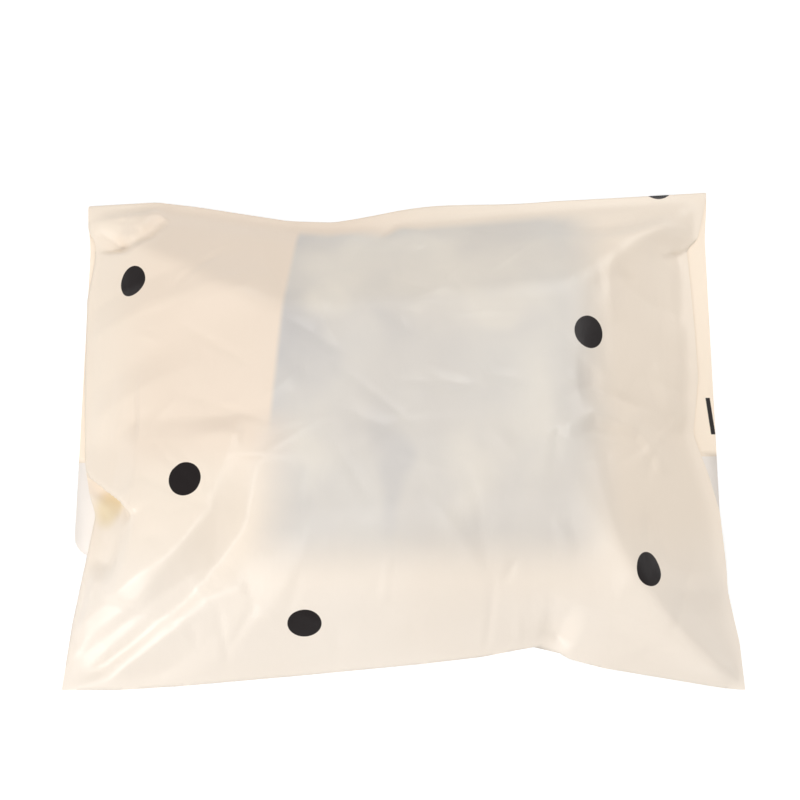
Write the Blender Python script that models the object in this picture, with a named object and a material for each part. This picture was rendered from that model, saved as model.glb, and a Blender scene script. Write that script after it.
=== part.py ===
"""A filled poly mailer bag, lying face up.

The film bag holds a soft folded pack in its lower part. Its empty upper part is folded underneath,
with the mouth shut flat and the closing flap left open. Metres, +Z up, origin under the middle.
"""
import bmesh
import bpy
import numpy as np

MM = 0.001

# Film bag, measured as it lies
BAG_WIDTH = 254 * MM
POUCH_LENGTH = 194.1 * MM
TAIL_LENGTH = 109 * MM
FLAP_LENGTH = 36 * MM
FLAP_CORNER = 8 * MM
FILM = 0.5 * MM
FILM_SLIT = 0.6 * MM
LAYER_GAP = 0.3 * MM
TAIL_INSET_LEFT = 1.8 * MM
TAIL_INSET_RIGHT = 6.0 * MM
TAIL_SKEW = 2.6 * MM
FOLD_NOSE = 1.5 * MM
FOLD_LIP = 3.2 * MM
UNDERLAY_RAMP = 26 * MM

# Soft pack inside
PACK_WIDTH = 120 * MM
PACK_LENGTH = 122 * MM
PACK_HEIGHT = 26.5 * MM
PACK_SHIFT_X = 12.1 * MM
PACK_SHIFT_Y = 5.0 * MM
PACK_WALL = 5 * MM
PACK_HEADROOM = 2.4 * MM

# Closure on the flap's inner side
STRIP_MARGIN = 10 * MM
ADHESIVE_WIDTH = 14 * MM
ADHESIVE_THICK = 0.25 * MM
LINER_WIDTH = 20 * MM
LINER_THICK = 0.25 * MM

# Grid of the film
FRONT_COLUMNS = 44
PLAIN_COLUMNS = 11
POUCH_ROWS = 36
TAIL_ROWS = 5
FLAP_ROWS = 3
PACK_CELLS = 14

# How far the outline draws in, as (share of the side, inset)
LEFT_INSET = [
    (0, 0), (0.13, 2.6 * MM), (0.26, 7.0 * MM), (0.345, 9.5 * MM), (0.385, 6.8 * MM), (0.45, 4.4 * MM),
    (0.62, 2.5 * MM), (0.80, 1.7 * MM), (0.88, 3.8 * MM), (0.922, 3.8 * MM), (0.95, 0.6 * MM), (1, 0),
]
RIGHT_INSET = [
    (0, 0), (0.09, 1.1 * MM), (0.187, 4.6 * MM), (0.235, 4.8 * MM), (0.34, 6.1 * MM), (0.41, 9.4 * MM),
    (0.496, 14.8 * MM), (0.61, 11.7 * MM), (0.70, 12.0 * MM), (0.80, 13.6 * MM), (0.882, 17.0 * MM),
    (0.905, 9.0 * MM), (0.95, 6.7 * MM), (1, 4.5 * MM),
]
BOTTOM_INSET = [
    (0, 0), (0.085, 0), (0.175, 1.4 * MM), (0.35, 5.2 * MM), (0.527, 9.4 * MM), (0.616, 12.0 * MM),
    (0.682, 15.2 * MM), (0.715, 16.3 * MM), (0.74, 11.5 * MM), (0.792, 8.0 * MM), (0.88, 4.3 * MM),
    (0.967, 0.7 * MM), (1, 0),
]
TOP_INSET = [
    (0, 5.8 * MM), (0.109, 4.1 * MM), (0.177, 6.2 * MM), (0.323, 12.1 * MM), (0.396, 13.0 * MM),
    (0.5, 10.1 * MM), (0.60, 8.1 * MM), (0.754, 3.7 * MM), (0.901, 1.5 * MM), (1, 0),
]
OUTLINE_BLUR = 0.012

# The filled front is a roof. Its flanks run up from the pouch's edges, meet in hips and end at a rim
# this far outside the pack's side, or inside it if negative, and each bulges by a share of its rise
RIM_MARGIN = {"left": 7 * MM, "right": 9 * MM, "bottom": -13 * MM, "top": -8 * MM}
FLANK_BULGE = {"left": 0.50, "right": 0.50, "bottom": 0.90, "top": 0.70}
ROOF_SOFTNESS = 0.12

# Folds of the front film: (share across, share along) points, rise, reach to the left and right of
# the path, and sharpness of the crest (1 is a straight tent, 2 a thin crest)
FOLDS = {
    "bottom_left_hip": (
        [(0.03, 0.0), (0.097, 0.076), (0.163, 0.129), (0.215, 0.18), (0.29, 0.206), (0.376, 0.219)],
        2.6 * MM, 12 * MM, 16 * MM, 0.8),
    "left_ridge": (
        [(0.073, 0.142), (0.118, 0.178), (0.153, 0.233), (0.188, 0.30), (0.211, 0.356),
         (0.236, 0.425), (0.252, 0.483)],
        6.0 * MM, 24 * MM, 13 * MM, 0.7),
    "left_valley": (
        [(0.041, 0.077), (0.103, 0.112), (0.152, 0.167), (0.191, 0.222), (0.228, 0.297)],
        -2.4 * MM, 10 * MM, 12 * MM, 0.7),
    "pocket_edge": (
        [(0.07, 0.335), (0.084, 0.277), (0.079, 0.23), (0.067, 0.19), (0.067, 0.14)],
        1.8 * MM, 9 * MM, 7 * MM, 1.3),
    "pinch_lip": (
        [(0.007, 0.436), (0.024, 0.409), (0.047, 0.377), (0.072, 0.336)],
        3.6 * MM, 16 * MM, 5 * MM, 1.0),
    "pinch_crease": (
        [(0.012, 0.40), (0.03, 0.378), (0.052, 0.345), (0.070, 0.312)],
        -3.4 * MM, 5 * MM, 8 * MM, 1.0),
    "upper_left_trough": (
        [(0.02, 0.74), (0.113, 0.775), (0.20, 0.82), (0.29, 0.88)],
        -2.2 * MM, 15 * MM, 15 * MM, 0.8),
    "middle_left_trough": (
        [(0.02, 0.555), (0.117, 0.60), (0.21, 0.66)],
        -1.7 * MM, 15 * MM, 15 * MM, 0.8),
    "corner_ridge": (
        [(0.015, 0.968), (0.062, 0.969), (0.103, 0.979)],
        2.0 * MM, 6 * MM, 8 * MM, 1.2),
    "corner_step": (
        [(0.0, 0.939), (0.031, 0.933), (0.065, 0.908)],
        -2.4 * MM, 6 * MM, 7 * MM, 1.0),
    "corner_crease": (
        [(0.112, 0.992), (0.102, 0.964), (0.066, 0.906)],
        2.2 * MM, 7 * MM, 7 * MM, 1.2),
    "top_right_crest": (
        [(0.851, 0.848), (0.936, 0.879), (0.985, 0.911)],
        3.4 * MM, 9 * MM, 12 * MM, 1.3),
    "pack_edge": (
        [(0.848, 0.845), (0.843, 0.73), (0.839, 0.62)],
        1.4 * MM, 7 * MM, 8 * MM, 1.5),
    "right_tent": (
        [(0.776, 0.469), (0.808, 0.490), (0.850, 0.485), (0.90, 0.46)],
        2.4 * MM, 11 * MM, 9 * MM, 0.8),
    "bottom_right_hip": (
        [(0.996, 0.007), (0.957, 0.042), (0.915, 0.076), (0.855, 0.131), (0.813, 0.212),
         (0.786, 0.303), (0.787, 0.372)],
        2.8 * MM, 14 * MM, 10 * MM, 0.8),
    "bottom_right_valley": (
        [(0.985, 0.06), (0.953, 0.10), (0.905, 0.155), (0.855, 0.235), (0.84, 0.30)],
        -2.4 * MM, 9 * MM, 14 * MM, 0.7),
    "bottom_valley": (
        [(0.734, 0.003), (0.739, 0.056), (0.747, 0.108), (0.752, 0.16)],
        -5.0 * MM, 10 * MM, 9 * MM, 0.9),
    "right_crease": (
        [(0.993, 0.192), (0.952, 0.192), (0.90, 0.208)],
        -2.2 * MM, 6 * MM, 7 * MM, 1.0),
    "right_pleat": (
        [(0.995, 0.889), (0.974, 0.876), (0.955, 0.868)],
        -2.6 * MM, 5 * MM, 5 * MM, 1.0),
    "middle_crease": (
        [(0.44, 0.50), (0.548, 0.494), (0.647, 0.489)],
        -0.7 * MM, 9 * MM, 9 * MM, 0.9),
}

# Levels of the stacked films, each at its middle
Z_TAIL_FRONT = FILM / 2
Z_TAIL_BACK = max(Z_TAIL_FRONT + FILM + FILM_SLIT,
                  LINER_THICK + ADHESIVE_THICK + 2 * LAYER_GAP + FILM / 2)
Z_POUCH_BACK = Z_TAIL_BACK + FILM + LAYER_GAP
EDGE_OPENING = FILM + FILM_SLIT
PACK_BOTTOM = Z_POUCH_BACK + FILM / 2 + LAYER_GAP
ROOF_RISE = LAYER_GAP + PACK_HEIGHT + PACK_HEADROOM + FILM - EDGE_OPENING

# Places along the bag
BOTTOM_Y = -(POUCH_LENGTH + FOLD_NOSE) / 2
FOLD_Y = BOTTOM_Y + POUCH_LENGTH
MOUTH_Y = FOLD_Y - TAIL_LENGTH
FLAP_END_Y = MOUTH_Y - FLAP_LENGTH

# How far each flank runs in from its edge
FLANK_RUN = {
    "left": BAG_WIDTH / 2 + PACK_SHIFT_X - PACK_WIDTH / 2 - RIM_MARGIN["left"],
    "right": BAG_WIDTH / 2 - PACK_SHIFT_X - PACK_WIDTH / 2 - RIM_MARGIN["right"],
    "bottom": PACK_SHIFT_Y - PACK_LENGTH / 2 - BOTTOM_Y - RIM_MARGIN["bottom"],
    "top": FOLD_Y - PACK_SHIFT_Y - PACK_LENGTH / 2 - RIM_MARGIN["top"],
}

COLOURS = {
    "film_bag": ((0.80, 0.70, 0.60), 0.38),
    "contents": ((0.42, 0.43, 0.45), 0.90),
    "adhesive_strip": ((0.75, 0.70, 0.55), 0.30),
    "release_liner": ((0.85, 0.86, 0.86), 0.45),
}


def along(table, share):
    """Read an inset table, with its corners eased."""
    spots, insets = np.array(table, float).T
    offsets = np.linspace(-1, 1, 5) * OUTLINE_BLUR
    ends = 1 - np.minimum(1, np.minimum(share, 1 - share) / OUTLINE_BLUR)
    soft = sum(np.interp(share + offset, spots, insets) for offset in offsets) / len(offsets)
    return soft * (1 - ends) + np.interp(share, spots, insets) * ends


def plan(across, length):
    """Place of a point of the pouch, seen from above."""
    left = -BAG_WIDTH / 2 + along(LEFT_INSET, length)
    right = BAG_WIDTH / 2 - along(RIGHT_INSET, length)
    bottom = BOTTOM_Y + along(BOTTOM_INSET, across)
    top = FOLD_Y - along(TOP_INSET, across)
    return left + (right - left) * across, bottom + (top - bottom) * length


def smooth_step(value):
    value = np.clip(value, 0, 1)
    return value * value * (3 - 2 * value)


def back_height(y):
    """Middle of the pouch's back film: on the folded tail, and down to the ground past the flap."""
    raised = smooth_step((y - (FLAP_END_Y - UNDERLAY_RAMP)) / UNDERLAY_RAMP)
    return FILM / 2 + (Z_POUCH_BACK - FILM / 2) * raised


def soft_min(first, second, softness):
    """The lower of two values, rounded where they cross."""
    blend = np.clip(0.5 + 0.5 * (second - first) / softness, 0, 1)
    return second * (1 - blend) + first * blend - softness * blend * (1 - blend)


def roof(across, length):
    """Rise of the filled front over its edge, from 0 at the edges to 1 over the pack."""
    ones = np.ones_like(across)
    width = plan(ones, length)[0] - plan(0 * ones, length)[0]
    depth = plan(across, ones)[1] - plan(across, 0 * ones)[1]
    distances = {
        "left": across * width,
        "right": (1 - across) * width,
        "bottom": length * depth,
        "top": (1 - length) * depth,
    }
    rise = ones
    for side, distance in distances.items():
        share = distance / FLANK_RUN[side]
        slope = np.minimum(share, 1) * (1 + FLANK_BULGE[side] * (1 - np.minimum(share, 1)))
        rise = soft_min(rise, slope + ROOF_SOFTNESS * np.maximum(share - 1, 0), ROOF_SOFTNESS)
    return np.maximum(rise, 0)


def fold_rise(x, y, path, rise, reach_left, reach_right, sharpness):
    """Height that one fold adds: a crest along its path, fading at both ends."""
    points = np.array([plan(np.float64(a), np.float64(b)) for a, b in path])
    lengths = np.linalg.norm(np.diff(points, axis=0), axis=1)
    starts = np.concatenate([[0], np.cumsum(lengths)])
    nearest = np.full(x.shape, np.inf)
    signed = np.zeros(x.shape)
    travelled = np.zeros(x.shape)
    for index, step in enumerate(np.diff(points, axis=0)):
        away_x = x - points[index][0]
        away_y = y - points[index][1]
        share = np.clip((away_x * step[0] + away_y * step[1]) / lengths[index] ** 2, 0, 1)
        gap = np.hypot(away_x - share * step[0], away_y - share * step[1])
        closer = gap < nearest
        turn = np.sign(step[0] * away_y - step[1] * away_x)
        nearest = np.where(closer, gap, nearest)
        signed = np.where(closer, turn, signed)
        travelled = np.where(closer, starts[index] + share * lengths[index], travelled)
    reach = np.where(signed > 0, reach_left, reach_right)
    fade = np.sin(np.pi * (0.12 + 0.80 * travelled / starts[-1]))
    inside = np.clip(1 - nearest / reach, 0, 1)
    return rise * fade * inside ** (1 + sharpness)


def front_height(across, length):
    """Middle of the front film."""
    x, y = plan(across, length)
    floor = back_height(y) + EDGE_OPENING
    height = ROOF_RISE * roof(across, length)
    edge = smooth_step(15 * np.minimum(np.minimum(across, 1 - across), np.minimum(length, 1 - length)))
    for path, rise, reach_left, reach_right, sharpness in FOLDS.values():
        height = height + edge * fold_rise(x, y, path, rise, reach_left, reach_right, sharpness)
    return floor + (height + np.sqrt(height * height + (0.4 * MM) ** 2)) / 2 * np.minimum(1, edge * 8)


def tail_plan(across, share):
    """Place in the folded-under tail, from the fold at 0 to the mouth at 1."""
    fold_x, fold_y = plan(across, np.ones_like(across))
    left = -BAG_WIDTH / 2 + TAIL_INSET_LEFT
    right = BAG_WIDTH / 2 - TAIL_INSET_RIGHT
    mouth_x = left + (right - left) * across
    mouth_y = MOUTH_Y + TAIL_SKEW * across
    blend = smooth_step(share * 5)
    return fold_x + (mouth_x - fold_x) * blend, fold_y + (mouth_y - fold_y) * share


def flap_plan(across, share):
    """Place in the flap, from the mouth at 0 to its end at 1, with round corners."""
    x, y = tail_plan(across, np.ones_like(across))
    middle = (TAIL_INSET_LEFT - TAIL_INSET_RIGHT) / 2
    half = (BAG_WIDTH - TAIL_INSET_LEFT - TAIL_INSET_RIGHT) / 2
    down = FLAP_LENGTH * share
    cut = np.clip(down - (FLAP_LENGTH - FLAP_CORNER), 0, FLAP_CORNER)
    pull = FLAP_CORNER - np.sqrt(np.maximum(FLAP_CORNER ** 2 - cut ** 2, 0))
    return middle + (x - middle) * (half - pull) / half, y - down


def add_row(mesh, xs, ys, zs):
    return [mesh.verts.new((x, y, z)) for x, y, z in zip(xs, ys, zs)]


def join_rows(mesh, first, second):
    """Fill between two rows of vertices, which may differ in number."""
    if len(first) == len(second):
        for index in range(len(first) - 1):
            mesh.faces.new((first[index], first[index + 1], second[index + 1], second[index]))
        return
    i = 0
    j = 0
    while i < len(first) - 1 or j < len(second) - 1:
        next_first = (i + 1) / (len(first) - 1)
        next_second = (j + 1) / (len(second) - 1)
        if next_first <= next_second + 1e-9 and i < len(first) - 1:
            mesh.faces.new((first[i], first[i + 1], second[j]))
            i += 1
        else:
            mesh.faces.new((first[i], second[j + 1], second[j]))
            j += 1


def film_rows(mesh, columns, tail_columns, film_height, nose, z_tail):
    """One panel of the film: up the pouch, round the fold and along the tail to the mouth."""
    across = np.linspace(0, 1, columns + 1)
    rows = []
    for share in 1 - (1 - np.linspace(0, 1, POUCH_ROWS + 1)) ** 1.15:
        length = np.full_like(across, share)
        x, y = plan(across, length)
        rows.append(add_row(mesh, x, y, film_height(across, length)))
    x, y = plan(across, np.ones_like(across))
    z_top = film_height(across, np.ones_like(across))
    for angle in np.radians((45, 0, -45)):
        turn = (z_top + z_tail) / 2 + (z_top - z_tail) / 2 * np.sin(angle)
        rows.append(add_row(mesh, x, y + nose(across) * np.cos(angle), turn))
    across = np.linspace(0, 1, tail_columns + 1)
    for share in np.linspace(0, 1, TAIL_ROWS + 1):
        x, y = tail_plan(across, np.full_like(across, share))
        rows.append(add_row(mesh, x, y, np.full_like(across, z_tail)))
    return rows


def outer_nose(across):
    """How far the fold's round edge stands past the front's top edge."""
    return FOLD_NOSE + FOLD_LIP * np.exp(-((across - 0.56) / 0.11) ** 2)


def inner_nose(across):
    return np.full_like(across, (Z_POUCH_BACK - Z_TAIL_BACK) / 2)


def link(name, mesh):
    """Make a named object of a bmesh, with its own material."""
    data = bpy.data.meshes.new(name)
    bmesh.ops.recalc_face_normals(mesh, faces=mesh.faces)
    mesh.to_mesh(data)
    mesh.free()
    thing = bpy.data.objects.new(name, data)
    bpy.context.scene.collection.objects.link(thing)
    colour, roughness = COLOURS[name]
    material = bpy.data.materials.new(name)
    material.use_nodes = True
    shader = material.node_tree.nodes["Principled BSDF"]
    shader.inputs["Base Color"].default_value = (*colour, 1)
    shader.inputs["Roughness"].default_value = roughness
    data.materials.append(material)
    return thing


def make_film_bag():
    """Both panels of the film, joined along their sides and bottom and open at the mouth."""
    mesh = bmesh.new()
    front = film_rows(mesh, FRONT_COLUMNS, PLAIN_COLUMNS, front_height, outer_nose, Z_TAIL_FRONT)
    back = film_rows(mesh, PLAIN_COLUMNS, PLAIN_COLUMNS, lambda a, b: back_height(plan(a, b)[1]),
                     inner_nose, Z_TAIL_BACK)
    for panel in (front, back):
        for lower, upper in zip(panel, panel[1:]):
            join_rows(mesh, lower, upper)
    for side in (0, -1):
        join_rows(mesh, [row[side] for row in front], [row[side] for row in back])
    join_rows(mesh, front[0], back[0])
    flap = back[-1]
    across = np.linspace(0, 1, PLAIN_COLUMNS + 1)
    straight = 1 - FLAP_CORNER / FLAP_LENGTH
    bends = [1 - (1 - straight) * (1 - np.sin(angle)) for angle in np.radians((30, 60, 90))]
    for share in [*np.linspace(0, straight, FLAP_ROWS)[1:], *bends]:
        x, y = flap_plan(across, np.full_like(across, share))
        row = add_row(mesh, x, y, np.full_like(across, Z_TAIL_BACK))
        join_rows(mesh, flap, row)
        flap = row
    bag = link("film_bag", mesh)
    wall = bag.modifiers.new("film", "SOLIDIFY")
    wall.thickness = FILM
    wall.offset = 0
    bag.data.shade_smooth()
    return bag


def pouch_shares(x, y):
    """Shares across and along the pouch at a place, found by closing in on it."""
    across = np.full_like(x, 0.5)
    length = np.full_like(x, 0.5)
    for _ in range(40):
        here_x, here_y = plan(across, length)
        across = np.clip(across + (x - here_x) / BAG_WIDTH, 0, 1)
        length = np.clip(length + (y - here_y) / POUCH_LENGTH, 0, 1)
    return across, length


def make_contents():
    """The soft pack: flat below, and crowned on top as the film lies on it."""
    mesh = bmesh.new()
    steps = np.sin(np.linspace(-1, 1, PACK_CELLS + 1) * np.pi / 2)
    rows = []
    for v in steps:
        x = PACK_SHIFT_X + steps * PACK_WIDTH / 2
        y = np.full_like(x, PACK_SHIFT_Y + v * PACK_LENGTH / 2)
        crown = PACK_BOTTOM + PACK_HEIGHT * roof(*pouch_shares(x, y))
        inside = np.sqrt((1 - np.abs(steps) ** 5) * (1 - abs(v) ** 5))
        base = PACK_BOTTOM + PACK_WALL
        rows.append(add_row(mesh, x, y, base + (crown - base) * inside))
    for lower, upper in zip(rows, rows[1:]):
        join_rows(mesh, lower, upper)
    rim = rows[0] + [row[-1] for row in rows[1:]] + rows[-1][-2::-1] + [row[0] for row in rows[-2:0:-1]]
    foot = [mesh.verts.new((vert.co.x, vert.co.y, PACK_BOTTOM)) for vert in rim]
    for index in range(len(rim)):
        after = (index + 1) % len(rim)
        mesh.faces.new((rim[index], rim[after], foot[after], foot[index]))
    mesh.faces.new(foot)
    pack = link("contents", mesh)
    pack.data.shade_smooth()
    return pack


def make_strip(name, width, thick, bottom):
    """A flat strip under the flap, along its length."""
    mesh = bmesh.new()
    bmesh.ops.create_cube(mesh, size=1)
    tail_width = BAG_WIDTH - TAIL_INSET_LEFT - TAIL_INSET_RIGHT
    bmesh.ops.scale(mesh, vec=(tail_width - 2 * STRIP_MARGIN, width, thick), verts=mesh.verts)
    strip = link(name, mesh)
    middle_x = (TAIL_INSET_LEFT - TAIL_INSET_RIGHT) / 2
    middle_y = MOUTH_Y + TAIL_SKEW / 2 - FLAP_LENGTH / 2
    strip.location = (middle_x, middle_y, bottom + thick / 2)
    strip.rotation_euler.z = np.arctan2(TAIL_SKEW, tail_width)
    return strip


def clear_scene():
    for thing in list(bpy.data.objects):
        bpy.data.objects.remove(thing)


clear_scene()
make_film_bag()
make_contents()
make_strip("release_liner", LINER_WIDTH, LINER_THICK, 0)
make_strip("adhesive_strip", ADHESIVE_WIDTH, ADHESIVE_THICK, LINER_THICK + LAYER_GAP)
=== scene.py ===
"""The looks of a filled poly mailer bag: its film, printed dots and what shows through it."""
import math

import bpy
import numpy as np
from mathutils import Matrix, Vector


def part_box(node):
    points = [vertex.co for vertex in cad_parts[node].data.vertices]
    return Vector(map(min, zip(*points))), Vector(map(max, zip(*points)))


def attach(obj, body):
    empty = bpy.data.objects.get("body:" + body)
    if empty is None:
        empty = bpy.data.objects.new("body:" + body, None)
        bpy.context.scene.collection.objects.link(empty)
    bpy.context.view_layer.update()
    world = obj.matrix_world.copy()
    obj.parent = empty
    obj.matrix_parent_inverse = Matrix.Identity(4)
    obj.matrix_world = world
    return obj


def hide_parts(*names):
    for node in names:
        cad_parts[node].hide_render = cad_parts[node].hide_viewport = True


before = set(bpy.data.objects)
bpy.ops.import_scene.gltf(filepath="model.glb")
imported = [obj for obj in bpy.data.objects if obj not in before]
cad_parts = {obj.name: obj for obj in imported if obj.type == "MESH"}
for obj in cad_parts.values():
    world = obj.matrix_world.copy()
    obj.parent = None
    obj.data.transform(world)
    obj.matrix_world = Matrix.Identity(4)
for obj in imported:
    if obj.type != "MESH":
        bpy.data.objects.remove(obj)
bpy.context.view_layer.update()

MM = 0.001

# The bag's plan comes from the frame: the film's width and the pouch's length as it lies
CAD_FILM = 0.5 * MM
BAG_LOW, BAG_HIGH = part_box("film_bag")
PACK_LOW, PACK_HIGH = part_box("contents")
STRIP_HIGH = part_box("adhesive_strip")[1]
FOLD_NOSE = 1.5 * MM
BAG_WIDTH = BAG_HIGH.x - BAG_LOW.x - CAD_FILM / 2
POUCH_LENGTH = BAG_HIGH.y - BAG_LOW.y - CAD_FILM - FOLD_NOSE
BOTTOM_Y = -(POUCH_LENGTH + FOLD_NOSE) / 2
FOLD_Y = BOTTOM_Y + POUCH_LENGTH
TAIL_LENGTH = 109 * MM
FLAP_LENGTH = 36 * MM
FLAP_CORNER = 8 * MM
MOUTH_Y = FOLD_Y - TAIL_LENGTH
FLAP_END_Y = MOUTH_Y - FLAP_LENGTH
TAIL_INSET_LEFT = 1.8 * MM
TAIL_INSET_RIGHT = 6.0 * MM
TAIL_SKEW = 2.6 * MM
TAIL_BLEND = 0.2
UNDERLAY_RAMP = 26 * MM

# The round edge of the fold stands out furthest at one place, given as a share across
FOLD_LIP = 3.2 * MM
LIP_CENTRE = 0.56
LIP_WIDTH = 0.11

# The shown film is thinner than the solid one, and its layers lie closer
FILM = 0.14 * MM
FILM_SLIT = 0.14 * MM
STRIP_CLEARANCE = 0.15 * MM
PACK_CLEARANCE = 2.2 * MM
Z_TAIL_FRONT = FILM / 2
Z_TAIL_BACK = STRIP_HIGH.z + STRIP_CLEARANCE + FILM / 2
Z_POUCH_BACK = Z_TAIL_BACK + FILM + FILM_SLIT
EDGE_OPENING = FILM + FILM_SLIT
PACK_TOP = PACK_HIGH.z + PACK_CLEARANCE

# How far the outline draws in, as (share of the side, inset)
LEFT_INSET = [
    (0, 0), (0.13, 2.6 * MM), (0.26, 7.0 * MM), (0.345, 9.5 * MM), (0.385, 6.8 * MM), (0.45, 4.4 * MM),
    (0.62, 2.5 * MM), (0.80, 1.7 * MM), (0.88, 3.8 * MM), (0.922, 3.8 * MM), (0.95, 0.6 * MM), (1, 0),
]
RIGHT_INSET = [
    (0, 0), (0.09, 1.1 * MM), (0.187, 4.6 * MM), (0.235, 4.8 * MM), (0.34, 6.1 * MM), (0.41, 9.4 * MM),
    (0.496, 14.8 * MM), (0.61, 11.7 * MM), (0.70, 12.0 * MM), (0.80, 12.8 * MM), (0.882, 13.6 * MM),
    (0.905, 9.0 * MM), (0.95, 6.7 * MM), (1, 4.5 * MM),
]
BOTTOM_INSET = [
    (0, 0), (0.085, 0), (0.175, 1.4 * MM), (0.35, 5.2 * MM), (0.527, 9.4 * MM), (0.616, 12.0 * MM),
    (0.682, 15.2 * MM), (0.715, 16.3 * MM), (0.74, 11.5 * MM), (0.792, 8.0 * MM), (0.88, 4.3 * MM),
    (0.967, 0.7 * MM), (1, 0),
]
TOP_INSET = [
    (0, 5.8 * MM), (0.109, 4.1 * MM), (0.177, 6.2 * MM), (0.323, 12.1 * MM), (0.396, 13.0 * MM),
    (0.5, 10.1 * MM), (0.60, 8.1 * MM), (0.754, 3.7 * MM), (0.901, 1.5 * MM), (1, 0),
]

# The outline's corners are eased over a small share of a side; its broad course, which the middle of
# the front follows, over a large one
OUTLINE_BLUR = 0.008
BROAD_BLUR = 0.09
OUTLINE_FADE = 26 * MM

# The filled front is a roof: each flank runs up from its flat rim to the pack's rim, steep as far as a
# shoulder and gentler from there. Given are the flat rim, the run, and the shoulder's share of the run
# and the rise
FLANKS = {
    "left": (1.0 * MM, 71 * MM, 0.28, 0.52),
    "right": (4.2 * MM, 47 * MM, 0.50, 0.60),
    "bottom": (0.5 * MM, 49 * MM, 0.46, 0.68),
    "top": (3.0 * MM, 39 * MM, 0.44, 0.52),
}
RIM_SOFTNESS = 4.0 * MM
SHOULDER_SOFTNESS = 0.16
ROOF_SOFTNESS = 3.0 * MM
LEAST_RISE = 0.2 * MM

# A fold starts at a part of its height, ends at none, and fades out near the outline
CREST_ROUND = 0.8 * MM
FADE_START = 0.12
FADE_POWER = 0.6
FOLD_EDGE_FADE = 7 * MM
OVERLAP_EDGE_FADE = 2.5 * MM

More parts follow.
